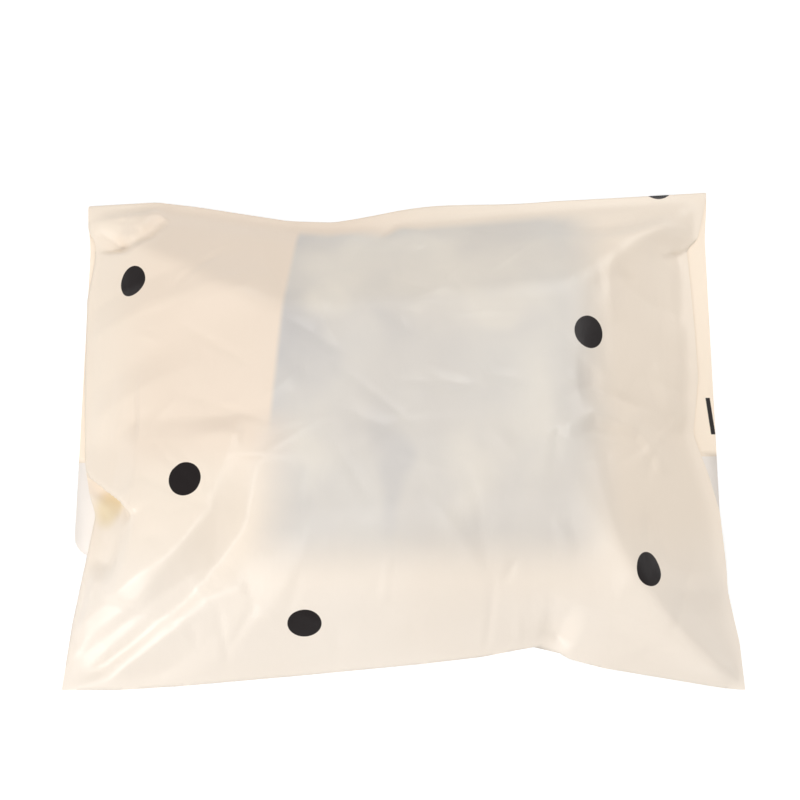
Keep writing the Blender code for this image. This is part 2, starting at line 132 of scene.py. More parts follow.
# Folds: (share across, share along) points, rise, then reach and power of the slope to the left and
# to the right of the path. Power 1 is a flat facet, 2 a slope that eases out. A last length, where
# there is one, is how round the crest is
FOLDS = {
    "bottom_left_hip": (
        [(0.03, 0.0), (0.098, 0.068), (0.156, 0.122), (0.212, 0.170), (0.270, 0.186)],
        4.2 * MM, (9 * MM, 1.0), (12 * MM, 1.3)),
    "left_ridge": (
        [(0.004, 0.02), (0.018, 0.075), (0.040, 0.116), (0.066, 0.138), (0.114, 0.174), (0.144, 0.230),
         (0.176, 0.286), (0.204, 0.336), (0.222, 0.394), (0.242, 0.444), (0.258, 0.490), (0.270, 0.53)],
        5.8 * MM, (32 * MM, 0.9), (12.5 * MM, 1.0)),
    "ridge_hook": (
        [(0.205, 0.484), (0.235, 0.489), (0.275, 0.489)],
        1.6 * MM, (6 * MM, 1.2), (8 * MM, 1.5)),
    "left_valley": (
        [(0.016, 0.012), (0.086, 0.078), (0.144, 0.130), (0.190, 0.170), (0.226, 0.216),
         (0.254, 0.284), (0.270, 0.362), (0.288, 0.444)],
        -5.8 * MM, (14 * MM, 1.0), (20 * MM, 1.3), 3 * MM),
    "corner_sink": (
        [(-0.03, -0.03), (0.018, 0.012), (0.086, 0.078), (0.144, 0.130), (0.20, 0.18)],
        -4.6 * MM, (16 * MM, 1.0), (5 * MM, 1.0)),
    "pocket_edge": (
        [(0.10, 0.47), (0.092, 0.40), (0.084, 0.335), (0.086, 0.30), (0.084, 0.25), (0.076, 0.20),
         (0.072, 0.165)],
        4.8 * MM, (30 * MM, 1.0), (8 * MM, 1.1)),
    "pocket_floor": (
        [(0.0, 0.262), (0.03, 0.245), (0.062, 0.236)],
        -3.0 * MM, (12 * MM, 1.2), (6 * MM, 1.1)),
    "upper_left_crest": (
        [(-0.01, 0.698), (0.082, 0.733), (0.172, 0.771), (0.246, 0.815), (0.30, 0.865)],
        2.8 * MM, (11 * MM, 1.0), (20 * MM, 1.5)),
    "upper_left_rise": (
        [(0.194, 0.762), (0.270, 0.796), (0.310, 0.845)],
        1.4 * MM, (8 * MM, 1.3), (12 * MM, 1.4)),
    "middle_left_crest": (
        [(-0.01, 0.522), (0.100, 0.578), (0.152, 0.607), (0.210, 0.642)],
        2.0 * MM, (10 * MM, 1.0), (17 * MM, 1.5)),
    "low_left_trough": (
        [(0.10, 0.515), (0.189, 0.522), (0.254, 0.528), (0.317, 0.545)],
        -1.3 * MM, (12 * MM, 1.7), (7 * MM, 1.3)),
    "top_fill": (
        [(0.11, 0.945), (0.252, 0.945), (0.392, 0.928), (0.540, 0.91), (0.698, 0.91), (0.80, 0.905)],
        2.6 * MM, (12 * MM, 0.8), (26 * MM, 1.5)),
    "corner_flat": (
        [(-0.02, 0.940), (0.030, 0.924), (0.064, 0.908), (0.090, 0.925), (0.125, 0.965)],
        -8.0 * MM, (13 * MM, 1.0), (5 * MM, 1.0)),
    "corner_ridge": (
        [(-0.02, 0.965), (0.030, 0.965), (0.070, 0.970), (0.125, 0.985)],
        3.6 * MM, (5 * MM, 0.9), (12 * MM, 1.0)),
    "corner_crease": (
        [(0.112, 0.990), (0.092, 0.946), (0.068, 0.910), (0.055, 0.890)],
        2.6 * MM, (5 * MM, 1.1), (7 * MM, 1.1)),
    "corner_pocket": (
        [(0.0, 0.938), (0.030, 0.920), (0.064, 0.904)],
        -1.6 * MM, (3 * MM, 1.0), (6 * MM, 1.3)),
    "top_right_crest": (
        [(0.850, 0.884), (0.902, 0.906), (0.966, 0.922), (1.0, 0.900)],
        3.0 * MM, (7 * MM, 1.3), (11 * MM, 1.4)),
    "top_right_trough": (
        [(0.76, 0.93), (0.863, 0.925), (0.975, 0.95)],
        -2.0 * MM, (7 * MM, 1.4), (7 * MM, 1.4)),
    "pack_edge": (
        [(0.859, 0.842), (0.849, 0.776), (0.846, 0.693)],
        1.3 * MM, (6 * MM, 1.6), (7 * MM, 1.6)),
    "right_shadow": (
        [(0.87, 0.79), (0.92, 0.755), (0.985, 0.73)],
        -1.8 * MM, (8 * MM, 1.2), (11 * MM, 1.4)),
    "right_hem": (
        [(0.965, 0.86), (0.962, 0.78), (0.968, 0.70), (0.962, 0.62), (0.958, 0.53)],
        0.7 * MM, (5 * MM, 1.2), (6 * MM, 1.2)),
    "right_facet": (
        [(0.93, 0.60), (0.95, 0.55), (0.985, 0.51)],
        1.3 * MM, (9 * MM, 1.1), (5 * MM, 1.1)),
    "right_mark": (
        [(0.806, 0.60), (0.812, 0.555), (0.824, 0.520)],
        -1.2 * MM, (4 * MM, 1.2), (5 * MM, 1.2)),
    "right_tent": (
        [(0.776, 0.474), (0.816, 0.502), (0.848, 0.496), (0.890, 0.480)],
        3.4 * MM, (9 * MM, 1.2), (5 * MM, 1.1)),
    "right_lines": (
        [(0.880, 0.498), (0.904, 0.456), (0.918, 0.40)],
        1.3 * MM, (5 * MM, 1.2), (3 * MM, 1.1)),
    "bottom_right_hip": (
        [(0.996, 0.007), (0.957, 0.042), (0.915, 0.078), (0.870, 0.136), (0.840, 0.18),
         (0.815, 0.235), (0.800, 0.303), (0.790, 0.40)],
        2.6 * MM, (14 * MM, 1.4), (16 * MM, 1.0)),
    "bottom_right_valley": (
        [(0.99, 0.06), (0.958, 0.10), (0.92, 0.155), (0.875, 0.235), (0.86, 0.31)],
        -1.2 * MM, (9 * MM, 1.2), (14 * MM, 1.4)),
    "hip_crease": (
        [(0.998, 0.004), (0.937, 0.045), (0.871, 0.085), (0.805, 0.112), (0.732, 0.120)],
        0.8 * MM, (3.5 * MM, 1.1), (5 * MM, 1.2)),
    "bottom_valley": (
        [(0.723, 0.0), (0.731, 0.048), (0.744, 0.112)],
        -3.0 * MM, (8 * MM, 1.2), (6 * MM, 1.2)),
    "right_crease": (
        [(0.993, 0.186), (0.961, 0.185), (0.922, 0.176), (0.87, 0.20)],
        1.6 * MM, (8 * MM, 1.3), (6 * MM, 1.2)),
    "top_wedge": (
        [(0.497, 0.987), (0.455, 0.935), (0.426, 0.857)],
        -1.6 * MM, (9 * MM, 1.4), (7 * MM, 1.3)),
    "top_crest": (
        [(0.50, 0.985), (0.520, 0.945), (0.545, 0.90)],
        1.8 * MM, (6 * MM, 1.2), (8 * MM, 1.5)),
    "middle_crease": (
        [(0.44, 0.503), (0.517, 0.495), (0.593, 0.489), (0.643, 0.488)],
        -0.22 * MM, (2 * MM, 1.1), (5 * MM, 1.2)),
}

# Where the film doubles over itself: points of the lip, the pocket being on the right of the path,
# how far the lip hangs over, how high it stands, how deep the pocket is, and the reach on both sides
OVERLAPS = {
    "pinch": (
        [(-0.005, 0.462), (0.018, 0.428), (0.045, 0.405), (0.068, 0.375), (0.084, 0.335)],
        3.6 * MM, 3.2 * MM, 8.0 * MM, 12 * MM, 9 * MM),
    "corner": (
        [(-0.01, 0.948), (0.025, 0.934), (0.048, 0.920), (0.068, 0.905)],
        1.4 * MM, 1.0 * MM, 2.0 * MM, 7 * MM, 8 * MM),
    "pleat": (
        [(0.945, 0.862), (0.970, 0.880), (1.01, 0.893)],
        1.0 * MM, 0.8 * MM, 1.2 * MM, 6 * MM, 7 * MM),
}

# How wide the drop from a lip to its pocket is, and how lip and pocket ease out
CLIFF = 2.6 * MM
LIP_POWER = 1.6
POCKET_POWER = 1.3

# Faint random creases of handled film: their spread as shares of the bag's width and length from its
# middle, and half length and reach in millimetres
CREASE_SEED = 5
CREASE_COUNT = 160
CREASE_RISE = 0.64 * MM
CREASE_SPREAD = (0.48, 0.46)
CREASE_HALF = (5, 19)
CREASE_REACH = (2.2, 7)
CREASE_POWER = 1.5

# Printed dots as (x, y) in millimetres on the front, all of one size
PRINT_BLUR = 0.12 * MM
DOT_RADIUS = 6.2 * MM
DOTS = [(-104.6, 56.1), (68.8, 32.3), (-79.3, -22.3), (-36.0, -73.6), (88.2, -54.5), (103.2, 101.0)]

# The one printed bar on the folded tail: its left and right edge, which lean, and its lower and upper
# edge. It fades out between two heights, so only the tail has it
BAR_X = (118.6 * MM, 120.6 * MM)
BAR_Y = (-1.7 * MM, 13.1 * MM)
BAR_BLUR = 0.3 * MM
BAR_LEAN = 0.10
BAR_LEAN_FROM = 5 * MM
BAR_HEIGHT = (1.6 * MM, 1.4 * MM)

# Colours, as they look on the film
CREAM = (246, 232, 215)
# Painted light: a paler cream where the front slopes down to the bottom edge and faces the light
PAINTED_LIGHT_CREAM = (247, 236, 223)
# Painted shade: a deeper, warmer cream over the left flank
PAINTED_SHADE_CREAM = (241, 224, 206)
MOTTLE_CREAM = (224, 206, 184)
BACK_CREAM = (254, 238, 218)
FLAP_CREAM = (255, 247, 239)
PACK_DARK = (188, 187, 189)
PACK_LIGHT = (236, 229, 217)
# Painted shade: a darker, warmer cream in the pocket under the pinch's lip
POCKET_SHADE_CREAM = (238, 219, 184)
INK = (22, 13, 13)

# Where the cream changes, each from the first place to the second: painted light makes it paler towards the
# bottom, and painted shade deeper on the left flank. Last, the centre and reach of the painted shade in the
# pocket under the pinch's lip
PAINTED_LIGHT_Y = (-30 * MM, -72 * MM)
PAINTED_SHADE_Y = (-26 * MM, -6 * MM)
PAINTED_SHADE_LEFT_X = (-122 * MM, -90 * MM)
PAINTED_SHADE_RIGHT_X = (20 * MM, -30 * MM)
POCKET = (-110 * MM, -31 * MM, 3 * MM)
POCKET_SHADE_REACH = (10.5 * MM, 4 * MM)

# Finish of the film
MOTTLE_SHARE = 0.16
CLOUD_RANGE = (0.3, 0.7)
PRINTED_ROUGHNESS = 0.34
PLAIN_ROUGHNESS = 0.42
SMOOTHER = 0.04
ROUGHER = 0.06
FILM_GLOSS = 0.46
CREASE_BUMP = 0.9
GRAIN_BUMP = 0.02
BUMP_DEPTH = 0.35 * MM

# How the pack shows through, as places measured from the pack's own edges: its left edge slants, and is
# sharp above, where the film lies tight on it, and soft below
SHOW_SLANT = 0.085
SHOW_LEFT = 5 * MM
SHOW_TIGHT = (48 * MM, 62 * MM)
SHOW_SHARP = (-1.2 * MM, 1.6 * MM)
SHOW_SOFT = (-9 * MM, 16 * MM)
SHOW_RIGHT = (10 * MM, -14 * MM)
SHOW_BOTTOM = (-5 * MM, 17 * MM)
SHOW_HEIGHT = (2 * MM, 8 * MM)
SHOW_SHARE = 0.92
SHADE = 0.22
# Painted shadow: how much darker the grey is along the pack's left edge, and how far in that reaches
EDGE_SHADOW = 0.16
EDGE_SHADOW_REACH = 12 * MM
SHADE_CLOUDS = 0.50
SPOT_SWAY = 36 * MM

# Spots where the pack's grey shows darker (a positive amount) or lighter (a negative one): the place, both
# half lengths, all in millimetres, and how much. The last, wide spot is painted light along the pack's top,
# against the shade where the front slopes down to the fold.
PACK_SPOTS_AND_PAINTED_LIGHT = [
    (-38, 26, 14, 30, 0.26), (-2, 48, 14, 36, 0.14), (-7, -20, 9, 36, 0.24), (-26, 46, 12, 12, -0.22),
    (36, 40, 18, 14, -0.22), (-34, -12, 14, 18, -0.26), (26, -16, 16, 22, -0.24), (46, 0, 18, 32, -0.20),
    # Painted light: this last, wide spot lightens the grey along the pack's top
    (0, 60, 90, 22, -0.34),
]

# How finely the film is divided
FRONT_COLUMNS = 212
POUCH_ROWS = 166
ROW_CROWDING = 1.1
PLAIN_COLUMNS = 26
TAIL_ROWS = 40
FLAP_ROWS = 12
TURN_ANGLES = (70, 45, 20, 0, -20, -45, -70)
SHARP_ANGLE = 75

# Camera, floor and surroundings
CAMERA_TARGET = (-1.3 * MM, 12.3 * MM, 0)
CAMERA_DISTANCE = 450 * MM
CAMERA_TILT = 11.5
CAMERA_LENS = 51.75
FLOOR_SIZE = 4.0
FLOOR_DROP = 0.02 * MM
FLOOR_WHITE = 0.86
FLOOR_LIFT = 0.30
ROOM_LIGHT = 0.40


def along(table, share, blur=OUTLINE_BLUR):
    """Read an inset table, with its corners eased."""
    spots, insets = np.array(table, float).T
    offsets = np.linspace(-1, 1, 7) * blur
    ends = 1 - np.minimum(1, np.minimum(share, 1 - share) / blur)
    soft = sum(np.interp(share + offset, spots, insets) for offset in offsets) / len(offsets)
    return soft * (1 - ends) + np.interp(share, spots, insets) * ends


def plan(across, length):
    """Place of a point of the pouch, seen from above."""
    left = -BAG_WIDTH / 2 + along(LEFT_INSET, length)
    right = BAG_WIDTH / 2 - along(RIGHT_INSET, length)
    bottom = BOTTOM_Y + along(BOTTOM_INSET, across)
    top = FOLD_Y - along(TOP_INSET, across)
    return left + (right - left) * across, bottom + (top - bottom) * length


def smooth_step(value):
    value = np.clip(value, 0, 1)
    return value * value * (3 - 2 * value)


def soft_min(values, softness):
    low = values[0]
    for value in values[1:]:
        mix = np.clip(0.5 + 0.5 * (value - low) / softness, 0, 1)
        low = value * (1 - mix) + low * mix - softness * mix * (1 - mix)
    return low


def back_height(y):
    """Middle of the pouch's back film: on the folded tail, and down to the ground past the flap."""
    raised = smooth_step((y - (FLAP_END_Y - UNDERLAY_RAMP)) / UNDERLAY_RAMP)
    return FILM / 2 + (Z_POUCH_BACK - FILM / 2) * raised


def edge_distances(across, length):
    """Distance to each side of the pouch, over its own width and length there."""
    ones = np.ones_like(across)
    width = plan(ones, length)[0] - plan(0 * ones, length)[0]
    depth = plan(across, ones)[1] - plan(across, 0 * ones)[1]

    def from_outline(gap, table, share):
        """Far from the edge, small steps of the outline no longer count."""
        step = along(table, share) - along(table, share, BROAD_BLUR)
        return gap + step * smooth_step(gap / OUTLINE_FADE)

    return {
        "left": from_outline(across * width, LEFT_INSET, length),
        "right": from_outline((1 - across) * width, RIGHT_INSET, length),
        "bottom": from_outline(length * depth, BOTTOM_INSET, across),
        "top": from_outline((1 - length) * depth, TOP_INSET, across),
    }


def roof(across, length):
    """Rise of the filled front: taut flanks from the edges to the pack's rim."""
    rise = PACK_TOP - Z_POUCH_BACK - EDGE_OPENING
    heights = [np.full_like(across, rise)]
    for side, distance in edge_distances(across, length).items():
        rim, run, shoulder, shoulder_rise = FLANKS[side]
        past_rim = np.hypot(distance - rim, RIM_SOFTNESS) - np.hypot(rim, RIM_SOFTNESS)
        share = (distance + past_rim) / 2 / run
        steep = share * shoulder_rise / shoulder
        gentle = shoulder_rise + (share - shoulder) * (1 - shoulder_rise) / (1 - shoulder)
        heights.append(rise * soft_min([steep, gentle], SHOULDER_SOFTNESS))
    return soft_min(heights, ROOF_SOFTNESS)


def path_frame(x, y, path):
    """Distance to a path, its side (1 on the left), and the share travelled along it."""
    points = np.array([plan(np.float64(a), np.float64(b)) for a, b in path])
    lengths = np.linalg.norm(np.diff(points, axis=0), axis=1)
    starts = np.concatenate([[0], np.cumsum(lengths)])
    nearest = np.full(x.shape, np.inf)
    signed = np.zeros(x.shape)
    travelled = np.zeros(x.shape)
    for index, step in enumerate(np.diff(points, axis=0)):
        away_x = x - points[index][0]
        away_y = y - points[index][1]
        share = np.clip((away_x * step[0] + away_y * step[1]) / lengths[index] ** 2, 0, 1)
        gap = np.hypot(away_x - share * step[0], away_y - share * step[1])
        closer = gap < nearest
        turn = np.sign(step[0] * away_y - step[1] * away_x)
        nearest = np.where(closer, gap, nearest)
        signed = np.where(closer, turn, signed)
        travelled = np.where(closer, starts[index] + share * lengths[index], travelled)
    return nearest, signed, travelled / starts[-1]


def fold_rise(x, y, path, rise, left, right, crest_round=CREST_ROUND):
    """Height that one fold adds: a crest along its path, fading at both ends."""
    nearest, signed, travelled = path_frame(x, y, path)
    reach = np.where(signed > 0, left[0], right[0])
    power = np.where(signed > 0, left[1], right[1])
    along_fold = FADE_START + (1 - FADE_START) * travelled
    fade = np.maximum(np.sin(np.pi * along_fold), 0) ** FADE_POWER
    inside = np.clip(1 - (np.hypot(nearest, crest_round) - crest_round) / reach, 0, 1)
    return rise * fade * inside ** power


def overlap_shift(x, y, path, overhang, lip, depth, reach_lip, reach_pocket):
    """Sideways and upward shift where the film hangs over a pocket beside a path."""
    nearest, signed, travelled = path_frame(x, y, path)
    points = np.array([plan(np.float64(a), np.float64(b)) for a, b in path])
    along_path = points[-1] - points[0]
    across_path = np.array([along_path[1], -along_path[0]]) / np.linalg.norm(along_path)
    fade = np.sin(np.pi * np.clip(travelled, 0, 1)) ** FADE_POWER
    fade = fade * (nearest < max(reach_lip, reach_pocket))
    on_lip = np.clip(1 - nearest / reach_lip, 0, 1) ** LIP_POWER
    in_pocket = np.clip(1 - nearest / reach_pocket, 0, 1) ** POCKET_POWER
    cliff = np.clip(1 - nearest / CLIFF, 0, 1)
    shift = np.where(signed > 0, on_lip, cliff) * overhang * fade
    lift = np.where(signed > 0, lip * on_lip, lip * cliff - depth * in_pocket * (1 - cliff)) * fade
    return shift * across_path[0], shift * across_path[1], lift


def random_creases(x, y):
    """Small height changes of short, faint, straight creases."""
    dice = np.random.default_rng(CREASE_SEED)
    height = np.zeros(x.shape)
    spread_x, spread_y = CREASE_SPREAD
    for _ in range(CREASE_COUNT):
        centre_x = dice.uniform(-spread_x, spread_x) * BAG_WIDTH
        centre_y = dice.uniform(-spread_y, spread_y) * POUCH_LENGTH
        angle = dice.uniform(0, np.pi)
        half = dice.uniform(*CREASE_HALF) * MM
        rise = dice.uniform(-1, 1) * CREASE_RISE
        reach = dice.uniform(*CREASE_REACH) * MM
        away_x = x - centre_x
        away_y = y - centre_y
        on_line = away_x * np.cos(angle) + away_y * np.sin(angle)
        off_line = away_y * np.cos(angle) - away_x * np.sin(angle)
        fade = np.clip(1 - (on_line / half) ** 2, 0, 1)
        height += rise * fade * np.clip(1 - np.abs(off_line) / reach, 0, 1) ** CREASE_POWER
    return height


def fade_at_outline(across, length, reach):
    """0 on the outline, growing to 1 at a distance from it."""
    nearest = np.minimum.reduce(list(edge_distances(across, length).values()))
    return smooth_step(nearest / reach)


def front_height(across, length):
    """Middle of the front film."""
    x, y = plan(across, length)
    floor = back_height(y) + EDGE_OPENING
    height = roof(across, length)
    edge = fade_at_outline(across, length, FOLD_EDGE_FADE)
    for fold in FOLDS.values():
        height = height + edge * fold_rise(x, y, *fold)
    height = height + edge * random_creases(x, y)
    near_edge = fade_at_outline(across, length, OVERLAP_EDGE_FADE)
    for overlap in OVERLAPS.values():
        height = height + near_edge * overlap_shift(x, y, *overlap)[2]
    return floor + np.maximum(height, LEAST_RISE * near_edge)


def front_place(across, length):
    """Place of the front film seen from above, with its overlaps."""
    x, y = plan(across, length)
    shift_x = np.zeros_like(x)
    shift_y = np.zeros_like(y)
    near_edge = fade_at_outline(across, length, OVERLAP_EDGE_FADE)
    for overlap in OVERLAPS.values():
        more_x, more_y, _ = overlap_shift(x, y, *overlap)
        shift_x += near_edge * more_x
        shift_y += near_edge * more_y
    return x + shift_x, y + shift_y


def tail_plan(across, share):
    """Place in the folded-under tail, from the fold at 0 to the mouth at 1."""
    fold_x, fold_y = plan(across, np.ones_like(across))
    left = -BAG_WIDTH / 2 + TAIL_INSET_LEFT
    right = BAG_WIDTH / 2 - TAIL_INSET_RIGHT
    mouth_x = left + (right - left) * across
    mouth_y = MOUTH_Y + TAIL_SKEW * across
    blend = smooth_step(share / TAIL_BLEND)
    return fold_x + (mouth_x - fold_x) * blend, fold_y + (mouth_y - fold_y) * share


def flap_plan(across, share):
    """Place in the flap, from the mouth at 0 to its end at 1, with round corners."""
    x, y = tail_plan(across, np.ones_like(across))
    middle = (TAIL_INSET_LEFT - TAIL_INSET_RIGHT) / 2
    half = (BAG_WIDTH - TAIL_INSET_LEFT - TAIL_INSET_RIGHT) / 2
    down = FLAP_LENGTH * share
    cut = np.clip(down - (FLAP_LENGTH - FLAP_CORNER), 0, FLAP_CORNER)
    pull = FLAP_CORNER - np.sqrt(np.maximum(FLAP_CORNER ** 2 - cut ** 2, 0))
    return middle + (x - middle) * (half - pull) / half, y - down


class Sheet:
    """Vertices and faces of the film, gathered row by row."""

    def __init__(self):
        self.points = []
        self.faces = []
        self.slots = []

    def row(self, xs, ys, zs):
        first = len(self.points)
        self.points.extend(zip(map(float, xs), map(float, ys), map(float, zs)))
        return list(range(first, len(self.points)))

    def join(self, first, second, slot):
        """Fill between two rows, which may differ in number."""
        i = 0
        j = 0
        same = len(first) == len(second)
        while i < len(first) - 1 or j < len(second) - 1:
            next_first = (i + 1) / (len(first) - 1)
            next_second = (j + 1) / (len(second) - 1)
            if same:
                self.faces.append((first[i], first[i + 1], second[j + 1], second[j]))
                i += 1
                j += 1
            elif next_first <= next_second + 1e-9 and i < len(first) - 1:
                self.faces.append((first[i], first[i + 1], second[j]))
                i += 1
            else:
                self.faces.append((first[i], second[j + 1], second[j]))
                j += 1
            self.slots.append(slot)


def panel_rows(sheet, columns, film_place, film_height, nose, z_tail):
    """One panel of the film: up the pouch, round the fold and along the tail to the mouth."""
    across = np.linspace(0, 1, columns + 1)
    rows = []
    for share in 1 - (1 - np.linspace(0, 1, POUCH_ROWS + 1)) ** ROW_CROWDING:
        length = np.full_like(across, share)
        x, y = film_place(across, length)
        rows.append(sheet.row(x, y, film_height(across, length)))
    x, y = plan(across, np.ones_like(across))
    z_top = film_height(across, np.ones_like(across))
    for angle in np.radians(TURN_ANGLES):
        turn = (z_top + z_tail) / 2 + (z_top - z_tail) / 2 * np.sin(angle)
        rows.append(sheet.row(x, y + nose(across) * np.cos(angle), turn))
    across = np.linspace(0, 1, PLAIN_COLUMNS + 1)
    for share in np.linspace(0, 1, TAIL_ROWS + 1):
        x, y = tail_plan(across, np.full_like(across, share))
        rows.append(sheet.row(x, y, np.full_like(across, z_tail)))
    return rows


def outer_nose(across):
    """How far the fold's round edge stands past the front's top edge."""
    return FOLD_NOSE + FOLD_LIP * np.exp(-((across - LIP_CENTRE) / LIP_WIDTH) ** 2)


def inner_nose(across):
    """The same for the back film, inside the fold."""
    return np.full_like(across, (Z_POUCH_BACK - Z_TAIL_BACK) / 2)


def linear(rgb):
    """A colour given as 0 to 255 on screen, as Blender's linear values."""
    def channel(value):
        value /= 255
        return value / 12.92 if value <= 0.04045 else ((value + 0.055) / 1.055) ** 2.4
    return (*map(channel, rgb), 1)


class Nodes:
    """Short helpers for one material's node tree."""

    def __init__(self, name):
        self.material = bpy.data.materials.new(name)
        self.material.use_nodes = True
        self.tree = self.material.node_tree
        self.shader = self.tree.nodes["Principled BSDF"]
        self.position = self.add("ShaderNodeTexCoord").outputs["Object"]

    def add(self, kind, **values):
        node = self.tree.nodes.new(kind)
        for key, value in values.items():
            setattr(node, key, value)
        return node

    def feed(self, socket, value):
        if isinstance(value, bpy.types.NodeSocket):
            self.tree.links.new(value, socket)
        else:
            socket.default_value = value

    def math(self, operation, *values, clamp=False):
        node = self.add("ShaderNodeMath", operation=operation, use_clamp=clamp)
        for socket, value in zip(node.inputs, values):
            self.feed(socket, value)
        return node.outputs[0]

    def product(self, first, *others):
        for other in others:
            first = self.math("MULTIPLY", first, other)
        return first

    def total(self, first, *others):
        for other in others:
            first = self.math("ADD", first, other)
        return first

    def ramp(self, value, low, high, to_low=0.0, to_high=1.0):
        """Smooth change from to_low to to_high as value goes from low to high."""
        node = self.add("ShaderNodeMapRange", interpolation_type="SMOOTHSTEP")
        for key, given in zip(("Value", "From Min", "From Max", "To Min", "To Max"),
                              (value, low, high, to_low, to_high)):
            self.feed(node.inputs[key], given)
        return node.outputs["Result"]

    def axes(self):
        node = self.add("ShaderNodeSeparateXYZ")
        self.feed(node.inputs[0], self.position)
        return node.outputs

    def distance(self, centre):
        node = self.add("ShaderNodeVectorMath", operation="DISTANCE")
        self.feed(node.inputs[0], self.position)
        node.inputs[1].default_value = centre
        return node.outputs["Value"]

    def noise(self, scale, detail=3.0, roughness=0.5, stretch=(1, 1, 1)):
        place = self.add("ShaderNodeMapping")
        self.feed(place.inputs["Vector"], self.position)
        place.inputs["Scale"].default_value = stretch
        node = self.add("ShaderNodeTexNoise")
        self.feed(node.inputs["Vector"], place.outputs[0])
        node.inputs["Scale"].default_value = scale
        node.inputs["Detail"].default_value = detail
        node.inputs["Roughness"].default_value = roughness
        return node.outputs[0]

    def mix(self, share, first, second):
        node = self.add("ShaderNodeMix", data_type="RGBA")
        self.feed(node.inputs["Factor"], share)
        self.feed(node.inputs["A"], first)
        self.feed(node.inputs["B"], second)
        return node.outputs["Result"]

    def bump(self, height, distance):
        node = self.add("ShaderNodeBump")
        self.feed(node.inputs["Height"], height)
        node.inputs["Distance"].default_value = distance
        node.inputs["Strength"].default_value = 1.0
        self.feed(self.shader.inputs["Normal"], node.outputs[0])

    def print_over(self, ink):
        """Black ink over the colour so far."""
        socket = self.shader.inputs["Base Color"]
        self.feed(socket, self.mix(ink, socket.links[0].from_socket, linear(INK)))


def surface_point(x, y):
    """The point of the front film over a place, in metres."""
    across = np.array([0.5])
    length = np.array([0.5])
    for _ in range(60):
        here_x, here_y = plan(across, length)
        across = np.clip(across + (x - here_x) / BAG_WIDTH, 0, 1)
        length = np.clip(length + (y - here_y) / POUCH_LENGTH, 0, 1)
    return Vector((x, y, float(front_height(across, length)[0])))


def film_texture(nodes, colour, roughness):
    """Finish shared by all of the film: faint mottling, satin sheen and fine handling creases."""
    clouds = nodes.noise(14, 2.0)
    grain = nodes.noise(900, 3.0)
    tone = nodes.mix(nodes.ramp(clouds, *CLOUD_RANGE, 0.0, MOTTLE_SHARE), colour, linear(MOTTLE_CREAM))
    nodes.feed(nodes.shader.inputs["Base Color"], tone)
    nodes.shader.inputs["Specular IOR Level"].default_value = FILM_GLOSS
    rough = nodes.ramp(clouds, *CLOUD_RANGE, roughness - SMOOTHER, roughness + ROUGHER)
    nodes.feed(nodes.shader.inputs["Roughness"], rough)
    creases = nodes.noise(70, 4.0, 0.55, (1, 0.45, 1))
    relief = nodes.total(nodes.product(creases, CREASE_BUMP), nodes.product(grain, GRAIN_BUMP))
    nodes.bump(relief, BUMP_DEPTH)


def pack_tone(nodes, x, y, from_left):
    """Grey of the pack behind the film: a painted shadow along its left edge, and darker and lighter spots,
    the last of them painted light along its top.
    """
    sway = nodes.product(nodes.math("SUBTRACT", nodes.noise(30, 1.5), 0.5), SPOT_SWAY)
    swayed_x = nodes.total(x, sway)
    swayed_y = nodes.total(y, sway)
    # Painted shadow along the pack's left edge
    edge_shadow = nodes.product(nodes.ramp(from_left, EDGE_SHADOW_REACH, 0), EDGE_SHADOW)
    shade = nodes.total(edge_shadow, nodes.product(nodes.noise(26, 3.0, 0.6), SHADE_CLOUDS), SHADE)
    # The spots; the last one is painted light along the pack's top
    for spot_x, spot_y, half_x, half_y, strength in PACK_SPOTS_AND_PAINTED_LIGHT:
        off_x = nodes.math("DIVIDE", nodes.math("SUBTRACT", swayed_x, spot_x * MM), half_x * MM)
        off_y = nodes.math("DIVIDE", nodes.math("SUBTRACT", swayed_y, spot_y * MM), half_y * MM)
        squares = nodes.total(nodes.product(off_x, off_x), nodes.product(off_y, off_y))
        shade = nodes.total(shade, nodes.ramp(nodes.math("SQRT", squares), 1.0, 0.2, 0.0, strength))
    shade = nodes.math("MULTIPLY", shade, 1.0, clamp=True)
    return nodes.mix(shade, linear(PACK_LIGHT), linear(PACK_DARK))


def show_through(nodes, x, y, z, cream):
    """The cream with the pack's grey behind it."""
    slant = nodes.product(nodes.math("SUBTRACT", PACK_HIGH.y, y), SHOW_SLANT)
    from_left = nodes.math("SUBTRACT", nodes.total(x, slant), PACK_LOW.x + SHOW_LEFT)
    tight = nodes.ramp(y, *(PACK_LOW.y + place for place in SHOW_TIGHT))
    slack = nodes.math("SUBTRACT", 1.0, tight)
    left = nodes.total(nodes.product(tight, nodes.ramp(from_left, *SHOW_SHARP)),
                       nodes.product(slack, nodes.ramp(from_left, *SHOW_SOFT)))
    right = nodes.ramp(x, *(PACK_HIGH.x + place for place in SHOW_RIGHT))
    bottom = nodes.ramp(y, *(PACK_LOW.y + place for place in SHOW_BOTTOM))
    inside = nodes.product(left, right, bottom, nodes.ramp(z, *SHOW_HEIGHT), SHOW_SHARE)
    return nodes.mix(inside, cream, pack_tone(nodes, x, y, from_left))


